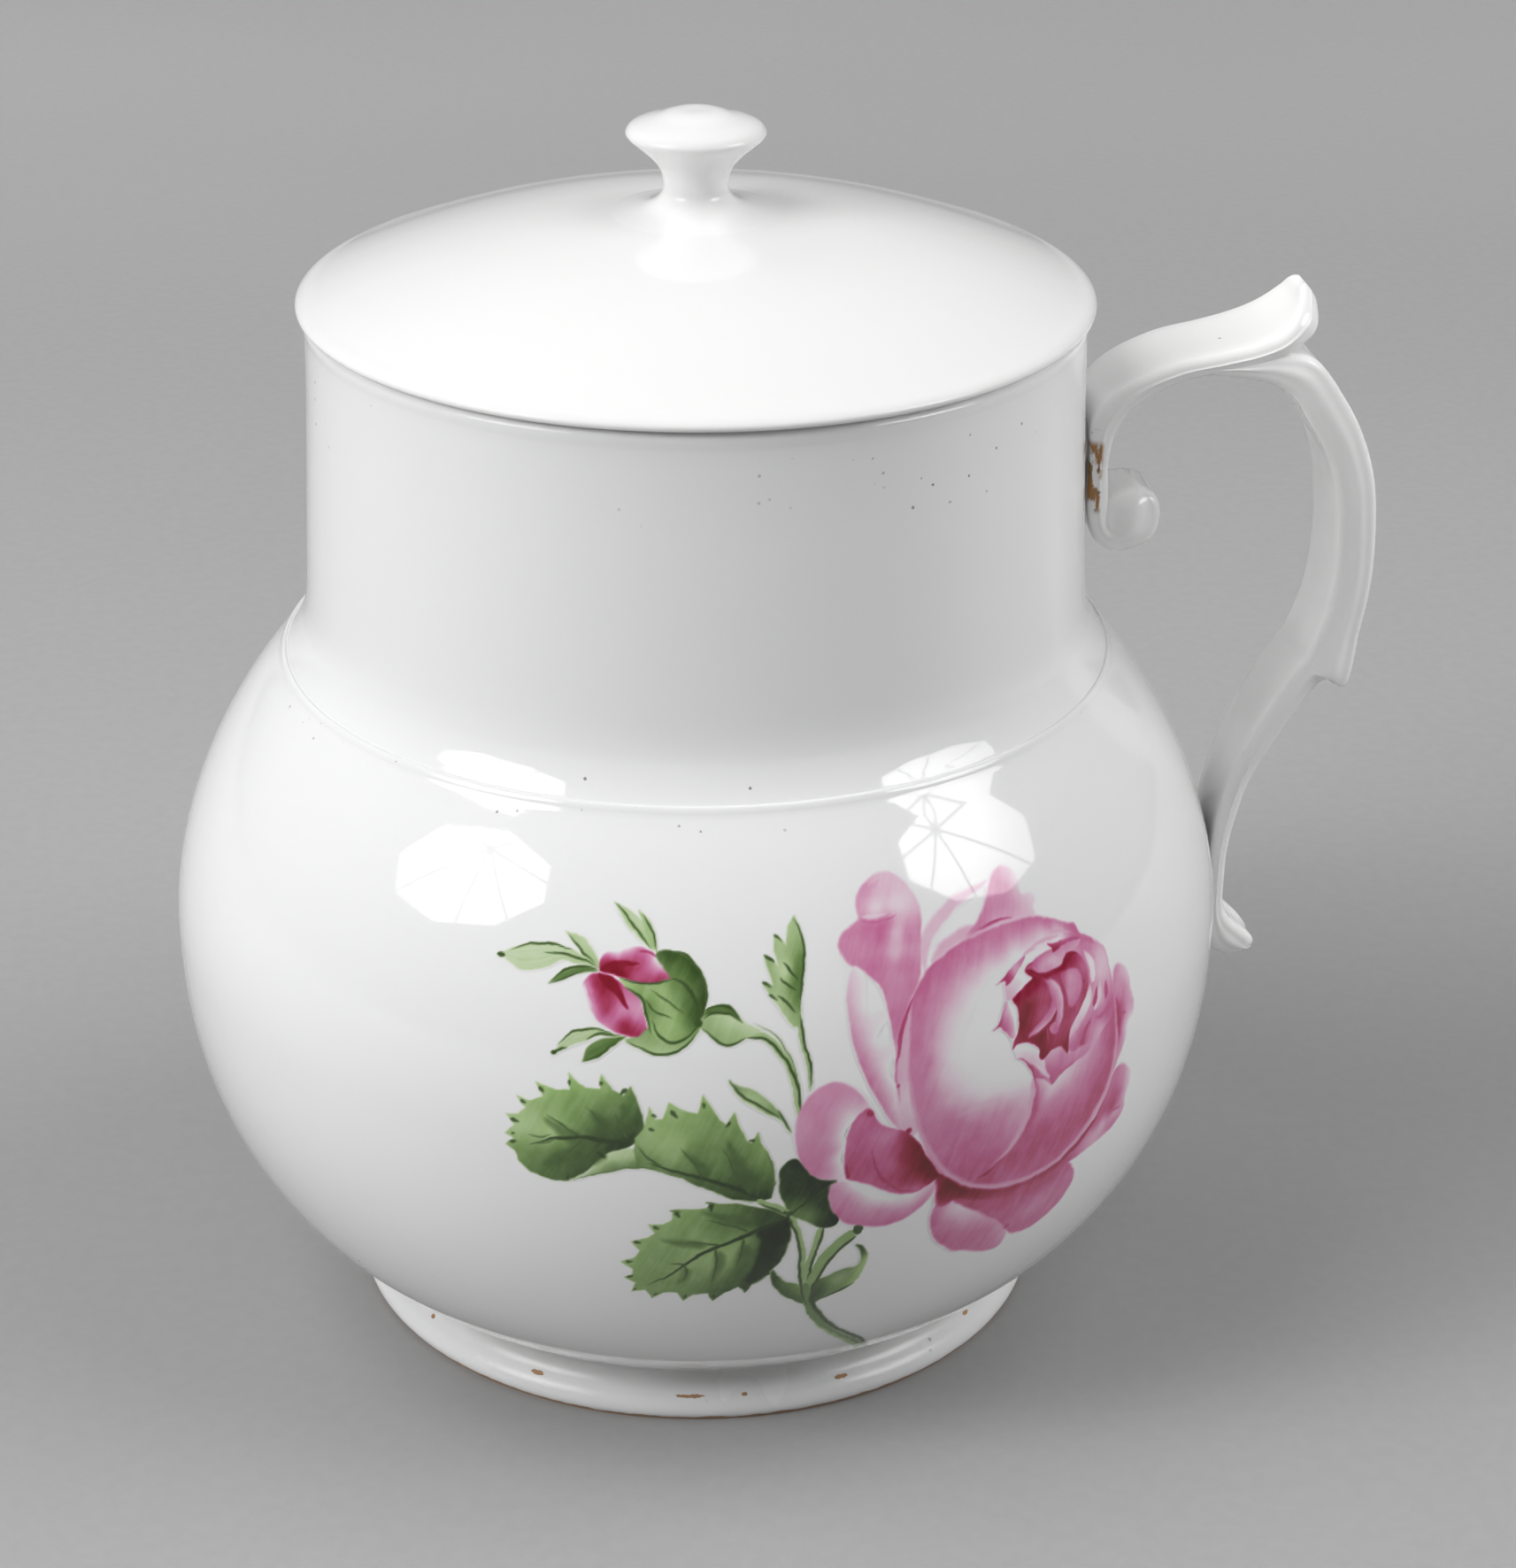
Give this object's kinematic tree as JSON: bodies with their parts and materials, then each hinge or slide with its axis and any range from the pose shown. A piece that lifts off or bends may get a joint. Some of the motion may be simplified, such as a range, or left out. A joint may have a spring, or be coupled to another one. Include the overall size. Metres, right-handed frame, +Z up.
{
  "type": "covered jar with handle",
  "caption": "Bulbous white porcelain jar with a tall neck, a lift-off domed lid with a mushroom knob, a scroll strap handle and a painted rose spray.",
  "frame": {"origin": "centre of the overall box's base, on the plane the foot ring stands on. The jar's turning axis is at x = -12.65 mm, because the handle reaches out on +X.", "axes": "+Z up along the jar's turning axis, +X towards the handle, +Y completes the right-handed frame. The solids mirror across the X-Z plane."},
  "size_m": [0.2053, 0.18, 0.21],
  "materials": {
    "body_glaze": "gloss",
    "neck_glaze": "gloss",
    "foot_glaze": "gloss",
    "handle_glaze": "gloss",
    "lid_glaze": "gloss",
    "lid_ring_glaze": "satin"
  },
  "bodies": {
    "jar": {"body_globe": "body_glaze", "neck_collar": "neck_glaze", "foot_ring": "foot_glaze", "handle_upper_scroll": "handle_glaze", "handle_lower_scroll": "handle_glaze"},
    "lid": {"lid_dome": "lid_glaze", "lid_locating_ring": "lid_ring_glaze", "lid_knob": "lid_glaze"}
  },
  "joints": [
    {"name": "lid_lift", "type": "slide", "parent": "jar", "child": "lid", "axis": [0, 0, 1], "range_m": [0, 0.06]}
  ]
}
